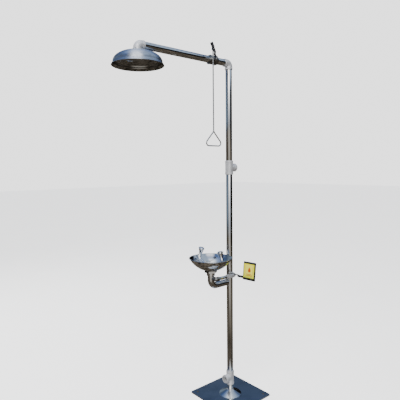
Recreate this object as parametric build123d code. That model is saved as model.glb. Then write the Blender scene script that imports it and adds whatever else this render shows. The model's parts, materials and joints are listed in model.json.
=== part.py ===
from build123d import *
import math
import os

os.makedirs("parts", exist_ok=True)

# Free-standing emergency shower with an eyewash bowl on the same column.
# Frame: +Z up, origin at the middle of the base plate's underside, on the column's axis.
# The shower arm and the bowl reach towards -Y, the push sign towards +X, the inlet to +Y.
# All sizes are in millimetres.

# ---- pipework ----
pipe_od = 42.4                # main pipe, 1 1/4 inch
pipe_wall = 2.6
supply_od = 21.3              # eyewash supply pipe, 1/2 inch
supply_wall = 2.2
socket_gap = 0.1              # radial gap between a pipe and the socket it is screwed into
running_gap = 0.05            # radial gap of a shaft that turns in its hole
free_gap = 0.4                # gap between faces of bodies that move past each other
plug_gap = 0.1                # radial gap of a piece welded or pressed inside another

# ---- floor ----
plate_side = 390.0
plate_thick = 8.0
plate_corner = 12.0
plate_chamfer = 0.8
anchor_spacing = 320.0
anchor_hole_r = 7.0
cone_base_r = 76.0
cone_top_z = 40.0
cone_wall = 1.5
cone_lip = 2.0
foot_socket_height = 13.0
foot_socket_wall = 6.0
foot_socket_round = 1.0

# ---- column and arm ----
drain_tee_z = 123.0
inlet_tee_z = 1566.5
tee_half = pipe_od / 2 + 24.8             # tee centre to each end of its run
tee_reach = pipe_od / 2 + 30.8             # tee centre to the end of its branch
branch_step = 0.6             # the branch is this much slimmer than the run
thread_r = pipe_od / 2 - 1.7              # bore of the branch's 1 1/4 inch pipe thread
arm_z = 2243.0
head_y = -692.0
elbow_reach = pipe_od / 2 + 18.8           # elbow centre to each of its ends
elbow_bend_r = pipe_od / 2 + 1.8
elbow_wall = 3.0
elbow_collar_wall = 4.0
fitting_wall = 4.6
collar_wall = 5.6
collar_length = 13.0
socket_depth = 18.0
edge_round = 1.2
hex_chamfer = 0.8

# ---- drain between the bowl and the column ----
bowl_y = -171.0
drain_z = 796.0
drain_bend_r = 68.0
divider_thick = 8.0

# ---- eyewash supply ----
supply_x = pipe_od / 2 + 26.8
supply_z = 850.0
supply_elbow_reach = 23.0
supply_bend_r = 13.0
supply_fitting_wall = 3.2
supply_collar_wall = 4.2
supply_collar_length = 9.0
supply_socket = 8.0
eyewash_valve_y = -50.0
riser_bend_r = 15.0
outlet_inset = 1.0            # the outlet stub starts this far outside the column's bore

# ---- eyewash bowl ----
bowl_rim_z = 983.0
bowl_rim_r = 139.0
bowl_depth = 80.0
bowl_wall = 1.2
bowl_bead_r = 2.2
waste_flange_r = pipe_od / 2 + 12.8
waste_flange_thick = 2.5
waste_tail_r = pipe_od / 2 + 5.8
waste_tail_low = 868.0
waste_socket = 14.0
waste_nut_r = pipe_od / 2 + 14.8
waste_nut_height = 12.0
waste_gasket_thick = 2.0
strainer_thick = 2.0
strainer_hole_r = 3.0
strainer_holes = 10
strainer_rim = 2.0
waste_edge = 1.0
waste_land = 1.0              # the waste's bore is this much slimmer than the pipe's
gasket_inset = 2.0

# ---- eyewash nozzles ----
nozzle_tube_od = 16.0
nozzle_tube_wall = 1.5
nozzle_floor_x = bowl_rim_r - 87.0
nozzle_floor_bend = 40.0
nozzle_knee_bend = 20.0
nozzle_floor_z = 936.0
nozzle_knee_x = bowl_rim_r - 25.0
nozzle_knee_z = 962.0
nozzle_top_x = bowl_rim_r - 42.0
nozzle_top_z = 1010.0
manifold_r = 17.0
manifold_top = 952.0
manifold_low = 914.0
manifold_socket = 10.0
manifold_edge = 1.0
manifold_shoulder = 5.0
manifold_tube_depth = 7.0     # how far each tube goes into the manifold
spray_head_r = 17.0
spray_head_neck_r = 10.5
spray_head_height = 30.0
spray_head_overlap = 9.0      # how far the head's socket goes down over the tube
spray_head_edge = 1.0
spray_head_land = 5.0         # height of the head's cylindrical lip
spray_flare_share = 0.45      # part of the head's height that is plain neck
spray_lip_wall = 3.0
spray_face_inset = 2.0        # the sprayed face lies this far below the lip
spray_face_thick = 2.0
spray_chamber = 2.0           # height of the water space behind the face
spray_hole_r = 1.2
spray_rings = [(4.5, 6), (9.0, 12)]
cap_thick = 6.0
cap_edge_low = 3.0
cap_edge_high = 1.0
cap_edge_run = 4.0
cap_pin_r = 1.25
cap_knuckle_r = 3.0
cap_knuckle_length = 8.0
cap_lug_length = 4.0
cap_hinge_gap = 0.5
cap_hinge_drop = 1.0
cap_web_overlap = 2.0
cap_tongue_overlap = 4.0

# ---- shower head ----
dome_rim_r = 145.0
dome_rim_z = arm_z - 115.0
dome_shoulder_r = 136.0
dome_shoulder_z = arm_z - 97.0
dome_wall = 1.2
head_nut_r = pipe_od / 2 + 9.8
head_nut_height = 10.0
spreader_r = 62.0
spreader_thick = 2.0
spreader_round = 0.6
spreader_clear = 6.6          # rings of holes nearer than this to the bolts are left out
spreader_z = arm_z - 77.0
spreader_hole_r = 2.5
spreader_pitch = 11.0
spreader_bolts = 3
spreader_bolt_r = 2.5
spreader_head_r = 5.0
spreader_head_low_r = 3.5
spreader_head_height = 2.5
spreader_bolt_grip = 8.0      # length of bolt inside the locknut
nipple_below_nut = 4.0

# ---- shower valve: flow along -Y, stem towards +X ----
shower_valve_y = -142.0
shower_lever_lean = 30.0      # lean of the closed lever from vertical, towards -Y
shower_lever_length = 101.0
shower_lever_width = 17.0
shower_lever_thick = 3.0
shower_lever_jog = 10.0       # how far the lever's outer half is set out from its hub
shower_jog_start = 30.0
shower_jog_end = 44.0
shower_jog_skew = 1.0         # keeps the strip's thickness through the jog
shower_sleeve_length = 30.0
shower_sleeve_wall = 2.5
shower_sleeve_round = 1.5
pull_pin_distance = 62.0      # valve stem to the pin that carries the pull rod
pull_pin_r = 3.0
pull_pin_head = 2.5           # how far the pin's heads stand out and how thick they are
pin_round = 0.6
pull_eye_r = 9.0
pull_spacer = 3.0             # shoulder on the pin between the lever and the rod's eye
pull_rod_r = 4.0
handle_apex_z = arm_z - 446.0
handle_bottom_z = arm_z - 543.0
handle_half_width = 84.0      # to the corners before they are rounded
handle_corner_r = 18.0
handle_weld_r = 6.0
handle_weld_drop = 1.0
handle_bend_drop = 2.0

# ---- eyewash valve: flow along Y, stem up ----
push_lever_turn = 7.5         # the closed lever's angle from +X towards +Y
push_lever_width = 15.0
push_lever_thick = 2.5
push_bar_start = 66.0
push_riser_width = 6.0
push_riser_overlap = 1.0
push_bar_height = 11.0
push_bar_thick = 3.0
push_bar_end = 196.0
push_bar_z = 864.5
push_sleeve_start = 74.0
push_sleeve_wall = 2.0
push_sleeve_gap = 2.0         # bare bar between the sleeve and the sign
push_lean = 7.0               # the sign's lean from vertical, top away from the user
sign_start = 112.0
sign_width = 95.0
sign_height = 117.0
sign_below_bar = 9.0
sign_thick = 2.0
sign_corner = 4.0
sign_rivet_r = 2.5
sign_rivet_head_r = 4.5
sign_rivet_head = 1.5
sign_rivet_bar_inset = 30.0   # the outer rivet has to meet the bar, which ends short of the sign
sign_rivet_inset = 18.0

# ---- worked out from the sizes above ----
pipe_r = pipe_od / 2
pipe_bore = pipe_r - pipe_wall
supply_r = supply_od / 2
supply_bore = supply_r - supply_wall
BASE = (Align.CENTER, Align.CENTER, Align.MIN)
nodes = {}


def rod(start, end, radius):
    """A plain round bar from one point to another."""
    line = Vector(*end) - Vector(*start)
    return Plane(origin=start, z_dir=line) * Cylinder(radius, line.length, align=BASE)


def tube(start, end, outer, inner):
    return rod(start, end, outer) - rod(start, end, inner)


def rounded_rod(start, end, radius, size=edge_round):
    """A round bar with both of its end edges rounded over."""
    line = Vector(*end) - Vector(*start)
    bar = Cylinder(radius, line.length, align=BASE)
    bar = fillet(bar.edges().filter_by(GeomType.CIRCLE), size)
    return Plane(origin=start, z_dir=line) * bar


def hexagon(start, end, across_flats):
    """A hexagonal bar with chamfered ends."""
    line = Vector(*end) - Vector(*start)
    bar = extrude(RegularPolygon(across_flats / 2, 6, major_radius=False), amount=line.length)
    cone_r = across_flats / math.sqrt(3)
    blank = Cylinder(cone_r, line.length, align=BASE)
    blank = chamfer(blank.edges().filter_by(GeomType.CIRCLE), hex_chamfer)
    return Plane(origin=start, z_dir=line) * (bar & blank)


def spun(points, centre=(0, 0, 0)):
    """A solid of revolution about a vertical axis from (radius, height) points."""
    outline = make_face(Plane.XZ * Polyline(*points, close=True))
    return Pos(*centre) * revolve(outline, Axis.Z)


def swept(points, bends, outer, inner=0.0):
    """A bent bar or, with an inner radius, a bent tube."""
    path = FilletPolyline(*points, radius=bends)
    start = Plane(origin=path @ 0, z_dir=path % 0)
    section = Circle(outer) - Circle(inner) if inner else Circle(outer)
    return sweep(start * section, path=path)


def along(origin, direction, distance):
    return tuple(Vector(*origin) + Vector(*direction) * distance)


def elbow(reach, pipe_radius, bore, depth, bend, length, wall, lip):
    """A cast 90 degree elbow with a socket at each end, local arms down and towards -Y."""
    centre = (0, 0, 0)
    arms = [(0, 0, -1), (0, -1, 0)]
    ends = [along(centre, arm, reach - edge_round) for arm in arms]
    body = swept([ends[0], centre, ends[1]], bend, pipe_radius + wall)
    mouths = [along(centre, arm, reach + 1) for arm in arms]
    hollow = swept([mouths[0], centre, mouths[1]], bend, bore)
    for arm in arms:
        end = along(centre, arm, reach)
        body += rounded_rod(end, along(end, arm, -length), pipe_radius + lip)
    for arm in arms:
        end = along(centre, arm, reach)
        body -= rod(end, along(end, arm, -depth), pipe_radius + socket_gap)
    return body - hollow


def tee():
    """A cast tee with its run upright and its branch towards local -Y."""
    centre = (0, 0, 0)
    branch = (0, -1, 0)
    arms = [(0, 0, 1), (0, 0, -1), branch]
    reaches = [tee_half, tee_half, tee_reach]
    body = rod((0, 0, edge_round - tee_half), (0, 0, tee_half - edge_round), pipe_r + fitting_wall)
    body += rod(centre, along(centre, branch, tee_reach - edge_round), pipe_r + fitting_wall - branch_step)
    for arm, reach in zip(arms, reaches):
        end = along(centre, arm, reach)
        body += rounded_rod(end, along(end, arm, -collar_length), pipe_r + collar_wall)
    body -= rod((0, 0, -tee_half), (0, 0, tee_half), pipe_bore)
    body -= rod(centre, along(centre, branch, tee_reach), pipe_bore - branch_step)
    end = along(centre, branch, tee_reach)
    body -= rod(end, along(end, branch, -socket_depth), thread_r)
    for arm in arms[:2]:
        end = along(centre, arm, tee_half)
        body -= rod(end, along(end, arm, -socket_depth), pipe_r + socket_gap)
    return body


# ---------------------------------------------------------------- base
def make_base():
    plate = Box(plate_side, plate_side, plate_thick, align=BASE)
    plate = fillet(plate.edges().filter_by(Axis.Z), plate_corner)
    plate = chamfer(plate.faces().sort_by(Axis.Z)[-1].edges(), plate_chamfer)
    half = anchor_spacing / 2
    for x in (-half, half):
        for y in (-half, half):
            plate -= rod((x, y, 0), (x, y, plate_thick), anchor_hole_r)
    nodes["base_plate"] = plate

    socket_r = pipe_r + socket_gap
    socket_top = plate_thick + foot_socket_height
    socket = rounded_rod((0, 0, plate_thick), (0, 0, socket_top), socket_r + foot_socket_wall,
                         foot_socket_round)
    nodes["foot_socket"] = socket - rod((0, 0, plate_thick), (0, 0, socket_top), socket_r)

    neck_r = pipe_r + socket_gap
    run = cone_base_r - cone_lip - neck_r - cone_wall
    rise = cone_top_z - plate_thick - cone_wall
    slant = cone_wall * math.hypot(run, rise) / rise
    nodes["foot_cone"] = spun([
        (cone_base_r, plate_thick),
        (cone_base_r, plate_thick + cone_wall),
        (cone_base_r - cone_lip, plate_thick + cone_wall),
        (neck_r + cone_wall, cone_top_z),
        (neck_r, cone_top_z),
        (neck_r, cone_top_z - cone_wall),
        (cone_base_r - cone_lip - slant, plate_thick)])

    nipple_top = drain_tee_z - tee_half + socket_depth
    nodes["foot_nipple"] = tube((0, 0, plate_thick), (0, 0, nipple_top), pipe_r, pipe_bore)


# ---------------------------------------------------------------- column
def make_column():
    fitting = tee()
    nodes["drain_tee"] = Pos(0, 0, drain_tee_z) * fitting
    nodes["inlet_tee"] = Pos(0, 0, inlet_tee_z) * Rot(0, 0, 180) * fitting

    low = drain_tee_z + tee_half - socket_depth
    high = inlet_tee_z - tee_half + socket_depth
    column = tube((0, 0, low), (0, 0, high), pipe_r, pipe_bore)
    column -= rod((0, 0, drain_z), (0, -pipe_od, drain_z), pipe_r + plug_gap)
    column -= rod((0, 0, supply_z), (pipe_od, 0, supply_z), supply_r + plug_gap)
    nodes["lower_pipe"] = column

    gap_bottom = drain_z + pipe_r
    gap_top = supply_z - supply_r
    middle = (gap_bottom + gap_top) / 2
    half = divider_thick / 2
    divider = rod((0, 0, middle - half), (0, 0, middle + half), pipe_bore - plug_gap)
    nodes["column_divider"] = divider

    low = inlet_tee_z + tee_half - socket_depth
    high = arm_z - elbow_reach + socket_depth
    nodes["upper_pipe"] = tube((0, 0, low), (0, 0, high), pipe_r, pipe_bore)


# ---------------------------------------------------------------- ball valves
class Valve:
    """Sizes of one ball valve: flow along local Y, stem along local Z."""

    cavity_gap = 1.2              # space between the ball and the body's bore
    seat_share = 0.42             # sealing ring's thickness for each unit of the ball's radius
    seat_land = 1.0               # how far the ring reaches past the ball's bore edge
    split_land = 2.0              # from the sealing ring to the joint between body and end
    body_overlap = 3.0            # how far the round body runs over its hexagon
    hex_overlap = 1.0             # gap from the joint to the hexagon's hidden end
    hex_step = 3.0                # the hexagon's flats are this much closer than the round body
    tang_share = 0.5              # depth of the ball's slot in the metal above its bore
    tang_width = 1.4              # width of the stem's tang for each unit of the stem's radius
    tang_root = 1.0
    nut_across = 3.4              # nut's flats for each unit of the stem's radius
    stem_proud = 2.0              # stem above its nut
    gland_step = 1.0

    def __init__(self, pipe_radius, half, body_r, ball_r, bore_r, stem_r, neck_r, neck_top,
                 gland_height, lever_thick, nut_height, depth):
        self.pipe_radius = pipe_radius
        self.half = half
        self.body_r = body_r
        self.ball_r = ball_r
        self.bore_r = bore_r
        self.stem_r = stem_r
        self.neck_r = neck_r
        self.neck_top = neck_top
        self.gland_top = neck_top + gland_height
        self.lever_low = self.gland_top + free_gap
        self.lever_top = self.lever_low + lever_thick
        self.nut_top = self.lever_top + nut_height
        self.depth = depth
        self.cavity_r = ball_r + self.cavity_gap
        self.seat_thick = ball_r * self.seat_share
        self.seat_out = math.sqrt(ball_r ** 2 - bore_r ** 2) + self.seat_land
        self.split = self.seat_out + self.split_land

    def body(self):
        shape = rounded_rod((0, -self.split - self.body_overlap, 0), (0, self.split, 0), self.body_r)
        flats = 2 * self.body_r - self.hex_step
        shape += hexagon((0, -self.half, 0), (0, -self.split - self.hex_overlap, 0), flats)
        shape += rod((0, 0, 0), (0, 0, self.neck_top), self.neck_r)
        shape -= rod((0, -self.seat_out, 0), (0, self.split, 0), self.cavity_r)
        shape -= rod((0, -self.half, 0), (0, 0, 0), self.bore_r)
        shape -= rod((0, -self.half, 0), (0, -self.half + self.depth, 0), self.pipe_radius + socket_gap)
        return shape - rod((0, 0, 0), (0, 0, self.neck_top), self.stem_r + running_gap)

    def end(self):
        shape = hexagon((0, self.split, 0), (0, self.half, 0), 2 * self.body_r - self.hex_step)
        shape += rod((0, self.seat_out, 0), (0, self.split, 0), self.cavity_r - plug_gap)
        shape -= rod((0, self.seat_out, 0), (0, self.half, 0), self.bore_r)
        return shape - rod((0, self.half - self.depth, 0), (0, self.half, 0), self.pipe_radius + socket_gap)

    def seats(self):
        ball_space = Sphere(self.ball_r + running_gap)
        rings = []
        for side in (-1, 1):
            outer = (0, side * self.seat_out, 0)
            inner = (0, side * (self.seat_out - self.seat_thick), 0)
            ring = tube(outer, inner, self.cavity_r - plug_gap, self.bore_r)
            rings.append(ring - ball_space)
        return rings

    def ball(self):
        shape = Sphere(self.ball_r) - rod((-self.ball_r, 0, 0), (self.ball_r, 0, 0), self.bore_r)
        slot = Box(2 * self.stem_r, self.stem_r, self.ball_r, align=BASE)
        return shape - Pos(0, 0, self.ball_r - self.tang()) * slot

    def tang(self):
        return (self.ball_r - self.bore_r) * self.tang_share

    def stem(self):
        shape = rod((0, 0, self.ball_r), (0, 0, self.nut_top + self.stem_proud), self.stem_r)
        bottom = self.ball_r - self.tang()
        tang = Box(self.tang_width * self.stem_r, self.stem_r, self.tang() + self.tang_root, align=BASE)
        return shape + Pos(0, 0, bottom) * tang

    def gland(self):
        shape = hexagon((0, 0, self.neck_top), (0, 0, self.gland_top), 2 * self.neck_r - self.gland_step)
        return shape - rod((0, 0, self.neck_top), (0, 0, self.gland_top), self.stem_r + running_gap)

    def nut(self):
        shape = hexagon((0, 0, self.lever_top), (0, 0, self.nut_top), self.nut_across * self.stem_r)
        return shape - rod((0, 0, self.lever_top), (0, 0, self.nut_top), self.stem_r)


shower_valve = Valve(
    pipe_radius=pipe_r, half=31.0, body_r=pipe_r + 6.3, ball_r=17.0, bore_r=12.0, stem_r=5.5, neck_r=11.0,
    neck_top=32.0, gland_height=5.0, lever_thick=shower_lever_thick, nut_height=6.0, depth=8.0)
eyewash_valve = Valve(
    pipe_radius=supply_r, half=24.0, body_r=14.5, ball_r=9.5, bore_r=6.0, stem_r=3.5, neck_r=7.0,
    neck_top=16.5, gland_height=3.2, lever_thick=push_lever_thick, nut_height=3.5, depth=8.0)


def place_valve(prefix, valve, where):
    nodes[prefix + "_valve_body"] = where * valve.body()
    nodes[prefix + "_valve_end"] = where * valve.end()
    nodes[prefix + "_valve_seats"] = Compound(children=[where * ring for ring in valve.seats()])
    nodes[prefix + "_valve_gland"] = where * valve.gland()
    nodes[prefix + "_valve_ball"] = where * valve.ball()
    nodes[prefix + "_valve_stem"] = where * valve.stem()
    nodes[prefix + "_lever_nut"] = where * valve.nut()


# ---------------------------------------------------------------- shower arm
def make_arm():
    fitting = elbow(elbow_reach, pipe_r, pipe_bore, socket_depth, elbow_bend_r,
                    collar_length, elbow_wall, elbow_collar_wall)
    nodes["top_elbow"] = Pos(0, 0, arm_z) * fitting
    nodes["head_elbow"] = Pos(0, head_y, arm_z) * Rot(0, 0, 180) * fitting
    valve_near = shower_valve_y + shower_valve.half - shower_valve.depth
    valve_far = shower_valve_y - shower_valve.half + shower_valve.depth
    start = -elbow_reach + socket_depth
    nodes["arm_nipple"] = tube((0, start, arm_z), (0, valve_near, arm_z), pipe_r, pipe_bore)
    finish = head_y + elbow_reach - socket_depth
    nodes["arm_pipe"] = tube((0, valve_far, arm_z), (0, finish, arm_z), pipe_r, pipe_bore)
    # local Y stays along the arm, local Z (the stem) turns to +X
    place_valve("shower", shower_valve, Pos(0, shower_valve_y, arm_z) * Rot(0, 90, 0))


# ---------------------------------------------------------------- shower head
def dome_arc(inset):
    """The dome's rounded outline from its top flat to its shoulder, set in by a wall."""
    top = arm_z - elbow_reach
    flat_r = pipe_r + elbow_collar_wall
    middle = math.radians(45)
    run = dome_shoulder_r - flat_r
    rise = top - dome_shoulder_z
    start = (flat_r, top - inset)
    crown = (flat_r + (run - inset) * math.sin(middle), dome_shoulder_z + (rise - inset) * math.cos(middle))
    end = (dome_shoulder_r - inset, dome_shoulder_z)
    return ThreePointArc(start, crown, end)


def make_head():
    top = arm_z - elbow_reach
    nut_top = top - dome_wall
    nut_low = nut_top - head_nut_height
    bore = pipe_r + socket_gap
    with BuildSketch() as profile:
        with BuildLine():
            outer = dome_arc(0)
            inner = dome_arc(dome_wall)
            Polyline(outer @ 1, (dome_rim_r, dome_rim_z), (dome_rim_r - dome_wall, dome_rim_z), inner @ 1)
            Polyline(inner @ 0, (bore, nut_top), (bore, top), outer @ 0)
        make_face()
    dome = revolve(Plane.XZ * profile.sketch, Axis.Z)
    nodes["shower_dome"] = Pos(0, head_y, 0) * dome

    nut = hexagon((0, head_y, nut_low), (0, head_y, nut_top), 2 * head_nut_r)
    nut -= rod((0, head_y, nut_low), (0, head_y, nut_top), bore)

    nipple_low = nut_low - nipple_below_nut
    nodes["head_nipple"] = tube((0, head_y, nipple_low), (0, head_y, top + socket_depth), pipe_r, pipe_bore)

    disc = Cylinder(spreader_r, spreader_thick, align=BASE)
    disc = fillet(disc.edges().filter_by(GeomType.CIRCLE), spreader_round)
    hole = Cylinder(spreader_hole_r, spreader_thick, align=BASE)
    bolt_ring_r = (pipe_r + head_nut_r) / 2
    bolt_shank = Cylinder(spreader_bolt_r, spreader_thick, align=BASE)
    ring_r = spreader_pitch
    disc -= hole
    while ring_r < spreader_r - spreader_pitch / 2:
        if abs(ring_r - bolt_ring_r) > spreader_clear:
            count = round(2 * math.pi * ring_r / spreader_pitch)
            disc -= PolarLocations(ring_r, count) * hole
        ring_r += spreader_pitch
    disc -= PolarLocations(bolt_ring_r, spreader_bolts) * bolt_shank
    nodes["spreader_disc"] = Pos(0, head_y, spreader_z) * disc

    bolt = Cylinder(spreader_bolt_r, nut_low + spreader_bolt_grip - spreader_z, align=BASE)
    bolt += spun([(0, 0), (spreader_head_r, 0), (spreader_head_low_r, -spreader_head_height),
                  (0, -spreader_head_height)])
    places = PolarLocations(bolt_ring_r, spreader_bolts)
    bolts = [Pos(0, head_y, spreader_z) * place * bolt for place in places]
    nodes["spreader_bolts"] = Compound(children=bolts)
    for bolt in bolts:
        nut -= bolt
    nodes["head_locknut"] = nut


# ---------------------------------------------------------------- drain and supply
def make_drain():
    bend = swept([(0, bowl_y, waste_tail_low + waste_socket), (0, bowl_y, drain_z), (0, -pipe_bore, drain_z)],
                 drain_bend_r, pipe_r, pipe_bore)
    bend -= rod((0, 0, drain_z - pipe_od), (0, 0, drain_z + pipe_od), pipe_bore)
    bend -= rod((0, bowl_y, supply_z), (pipe_od, bowl_y, supply_z), supply_r + plug_gap)
    nodes["drain_bend"] = bend


def make_supply():
    inner_end = supply_elbow_reach - supply_socket
    fitting = elbow(supply_elbow_reach, supply_r, supply_bore, supply_socket, supply_bend_r,
                    supply_collar_length, supply_fitting_wall, supply_collar_wall)
    outlet_start = pipe_bore + outlet_inset
    nodes["supply_outlet"] = tube((outlet_start, 0, supply_z), (supply_x - inner_end, 0, supply_z),
                                  supply_r, supply_bore)
    # laid over on its side: the arm that pointed down turns to -X
    nodes["supply_elbow_column"] = Pos(supply_x, 0, supply_z) * Rot(0, 90, 0) * fitting
    nodes["supply_elbow_bowl"] = Pos(supply_x, bowl_y, supply_z) * Rot(0, 90, 0) * Rot(0, 0, 180) * fitting
    valve_in = eyewash_valve_y + eyewash_valve.half - eyewash_valve.depth
    valve_out = eyewash_valve_y - eyewash_valve.half + eyewash_valve.depth
    nodes["supply_nipple"] = tube((supply_x, -inner_end, supply_z), (supply_x, valve_in, supply_z),
                                  supply_r, supply_bore)
    nodes["supply_pipe"] = tube((supply_x, valve_out, supply_z), (supply_x, bowl_y + inner_end, supply_z),
                                supply_r, supply_bore)
    riser_top = manifold_low + manifold_socket
    nodes["bowl_riser"] = swept([(supply_x - inner_end, bowl_y, supply_z), (0, bowl_y, supply_z),
                                 (0, bowl_y, riser_top)], riser_bend_r, supply_r, supply_bore)
    place_valve("eyewash", eyewash_valve, Pos(supply_x, eyewash_valve_y, supply_z))


# ---------------------------------------------------------------- eyewash bowl
def bowl_arc(inset):
    """The bowl's outline from its flat floor to its rim, set in by a wall."""
    low = bowl_rim_z - bowl_depth
    rise = (bowl_rim_r ** 2 - waste_flange_r ** 2 + bowl_depth ** 2) / (2 * bowl_depth)
    sphere_r = math.hypot(rise, waste_flange_r)
    sphere_z = low + rise
    radius = sphere_r - inset
    points = []
    for r in (waste_flange_r, (waste_flange_r + bowl_rim_r) / 2):
        points.append((r, sphere_z - math.sqrt(radius ** 2 - r ** 2)))
    rim_r = math.sqrt(radius ** 2 - (sphere_z - bowl_rim_z) ** 2)
    points.append((rim_r, bowl_rim_z))
    return ThreePointArc(*points)


def make_bowl():
    with BuildSketch() as profile:
        with BuildLine():
            outer = bowl_arc(0)
            inner = bowl_arc(bowl_wall)
            Line(outer @ 1, inner @ 1)
            floor_low = (outer @ 0).Y
            floor_top = (inner @ 0).Y
            hole = waste_tail_r + plug_gap
            Polyline(inner @ 0, (hole, floor_top), (hole, floor_low), outer @ 0)
        make_face()
    bowl = revolve(Plane.XZ * profile.sketch, Axis.Z)
    bead = Torus(bowl_rim_r, bowl_bead_r)
    bowl += Pos(0, 0, bowl_rim_z) * bead
    nodes["eyewash_bowl"] = Pos(0, bowl_y, 0) * bowl

    centre = (0, bowl_y, 0)
    flange_top = floor_top + waste_flange_thick
    seat = flange_top - strainer_thick
    tail_bore = pipe_bore - waste_land
    flange_r = waste_flange_r - waste_edge
    socket_r = pipe_r + socket_gap
    strainer_r = waste_tail_r - strainer_rim
    nodes["waste_body"] = spun([
        (waste_tail_r, waste_tail_low), (waste_tail_r, floor_top), (flange_r, floor_top),
        (flange_r, flange_top - waste_edge), (flange_r - waste_edge, flange_top),
        (strainer_r + plug_gap, flange_top),
        (strainer_r + plug_gap, seat), (tail_bore, seat), (tail_bore, waste_tail_low + waste_socket),
        (socket_r, waste_tail_low + waste_socket), (socket_r, waste_tail_low)], centre)

    gasket_low = floor_low - waste_gasket_thick
    nodes["waste_gasket"] = tube((0, bowl_y, gasket_low), (0, bowl_y, floor_low), waste_nut_r - gasket_inset,
                                 waste_tail_r + plug_gap)
    nut = hexagon((0, bowl_y, gasket_low - waste_nut_height), (0, bowl_y, gasket_low), 2 * waste_nut_r)
    nodes["waste_locknut"] = nut - rod((0, bowl_y, gasket_low - waste_nut_height), (0, bowl_y, gasket_low),
                                       waste_tail_r + plug_gap)

    grid = Cylinder(strainer_r, strainer_thick, align=BASE)
    grid -= Cylinder(supply_r + plug_gap, strainer_thick, align=BASE)
    hole_ring = (strainer_r + supply_r) / 2
    grid -= PolarLocations(hole_ring, strainer_holes) * Cylinder(strainer_hole_r, strainer_thick, align=BASE)
    nodes["bowl_strainer"] = Pos(0, bowl_y, seat) * grid


# ---------------------------------------------------------------- eyewash nozzles
def make_nozzles():
    centre = (0, bowl_y, 0)
    tube_r = nozzle_tube_od / 2
    tube_bore = tube_r - nozzle_tube_wall
    body = spun([
        (0, manifold_low), (manifold_r - manifold_edge, manifold_low),
        (manifold_r, manifold_low + manifold_edge),
        (manifold_r, manifold_top - manifold_edge - manifold_shoulder),
        (manifold_r - manifold_shoulder, manifold_top - manifold_edge), (0, manifold_top)], centre)
    socket_top = manifold_low + manifold_socket
    body -= rod((0, bowl_y, manifold_low), (0, bowl_y, socket_top), supply_r + socket_gap)
    body -= rod((0, bowl_y, socket_top), (0, bowl_y, nozzle_floor_z), supply_bore)
    body -= rod((-manifold_r, bowl_y, nozzle_floor_z), (manifold_r, bowl_y, nozzle_floor_z), tube_bore)
    tube_start = manifold_r - manifold_tube_depth
    for side in (-1, 1):
        body -= rod((side * tube_start, bowl_y, nozzle_floor_z), (side * manifold_r, bowl_y, nozzle_floor_z),
                    tube_r + socket_gap)
    nodes["nozzle_manifold"] = body

    lean = Vector(nozzle_top_x - nozzle_knee_x, 0, nozzle_top_z - nozzle_knee_z).normalized()
    pins = []
    tubes = []
    for name, side in (("left", -1), ("right", 1)):
        route = [(side * x, bowl_y, z) for x, z in (
            (tube_start, nozzle_floor_z), (nozzle_floor_x, nozzle_floor_z),
            (nozzle_knee_x, nozzle_knee_z), (nozzle_top_x, nozzle_top_z))]
        tubes.append(swept(route, [nozzle_floor_bend, nozzle_knee_bend], tube_r, tube_bore))
        # the head's own frame: Z out of the nozzle, X towards the outside of the bowl
        up = Vector(side * lean.X, 0, lean.Z)
        out = Vector(side * lean.Z, 0, -lean.X)
        frame = Plane(origin=route[3], x_dir=out, z_dir=up)
        head, cap, pin = spray_head(tube_r, tube_bore)
        nodes["spray_head_" + name] = frame * head
        nodes["dust_cap_" + name] = frame * cap
        pins.append(frame * pin)
    nodes["nozzle_tubes"] = Compound(children=tubes)
    nodes["dust_cap_pins"] = Compound(children=pins)


def hinge_x():
    return spray_head_r + cap_knuckle_r + cap_hinge_gap


def hinge_z():
    return spray_head_height - spray_head_overlap + free_gap + cap_knuckle_r - cap_hinge_drop


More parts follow.
